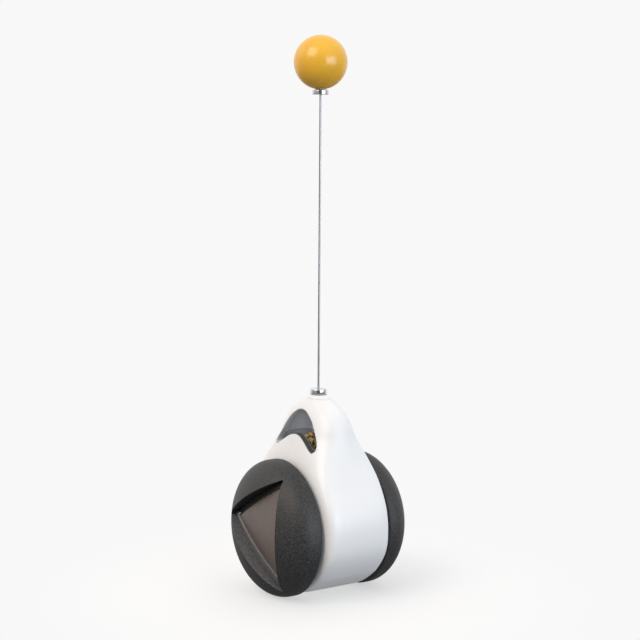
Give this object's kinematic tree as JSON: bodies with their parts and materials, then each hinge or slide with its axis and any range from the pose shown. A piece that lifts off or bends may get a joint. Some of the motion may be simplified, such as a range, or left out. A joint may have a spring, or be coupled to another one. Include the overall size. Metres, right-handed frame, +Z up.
{
  "type": "interactive cat toy car",
  "caption": "Wobbling cat toy: a weighted white teardrop body between domed wheels, with a catnip chamber and a ball on a springy wire.",
  "frame": {"origin": "on the floor below the middle of the axle", "axes": "+X along the axle towards the right wheel, -Y towards the front, +Z up along the wire"},
  "size_m": [0.0848, 0.082, 0.2916],
  "materials": {
    "body_white": "smooth glossy white moulding",
    "chamber_grey": "satin grey moulding",
    "wheel_grey": "fine grained dark grey",
    "insert_grey": "smooth satin brownish grey",
    "wheel_inner": "plain dark moulding",
    "chrome": "polished",
    "steel": "drawn or turned steel",
    "weight_iron": "as cast",
    "nylon": "natural",
    "ball_yellow": "glossy golden yellow",
    "catnip": "pressed crumbly herb"
  },
  "bodies": {
    "housing": {"front_shell": "body_white", "rear_shell": "body_white", "chamber_hood": "chamber_grey", "chamber_tray": "chamber_grey", "counterweight": "weight_iron", "body_screw_upper_left": "steel", "body_screw_upper_right": "steel", "body_screw_lower_left": "steel", "body_screw_lower_right": "steel", "axle": "steel", "left_bushing": "nylon", "left_washer": "steel", "left_axle_cap": "steel", "right_bushing": "nylon", "right_washer": "steel", "right_axle_cap": "steel", "wire_socket": "steel", "lower_collar": "chrome"},
    "left_wheel": {"left_wheel_cover": "wheel_grey", "left_wheel_insert": "insert_grey", "left_wheel_disc": "wheel_inner"},
    "right_wheel": {"right_wheel_cover": "wheel_grey", "right_wheel_insert": "insert_grey", "right_wheel_disc": "wheel_inner"},
    "rod": {"wire": "steel"},
    "teaser": {"upper_collar": "chrome"},
    "ball_body": {"ball": "ball_yellow", "ball_socket": "nylon"},
    "catnip": {"catnip_ball": "catnip"}
  },
  "joints": [
    {"name": "left_wheel_spin", "type": "hinge", "parent": "housing", "child": "left_wheel", "pos_m": [0, 0, 0.036], "axis": [1, 0, 0], "continuous": true},
    {"name": "right_wheel_spin", "type": "hinge", "parent": "housing", "child": "right_wheel", "pos_m": [0, 0, 0.036], "axis": [1, 0, 0], "continuous": true},
    {"name": "sway_fore", "type": "hinge", "parent": "housing", "child": "rod", "pos_m": [0, 0, 0.136], "axis": [1, 0, 0], "range_deg": [-25, 25], "stiffness_Nm_per_rad": 0.186, "deforming": ["wire"]},
    {"name": "sway_side", "type": "hinge", "parent": "rod", "child": "teaser", "pos_m": [0, 0, 0.186], "axis": [0, 1, 0], "range_deg": [-25, 25], "stiffness_Nm_per_rad": 0.067, "deforming": ["wire"]},
    {"name": "ball_pull", "type": "slide", "parent": "teaser", "child": "ball_body", "axis": [0, 0, 1], "range_m": [0, 0.016]},
    {"name": "catnip_roll", "type": "slide", "parent": "housing", "child": "catnip", "axis": [1, 0, 0], "range_m": [-0.0009, 0.0116]}
  ]
}
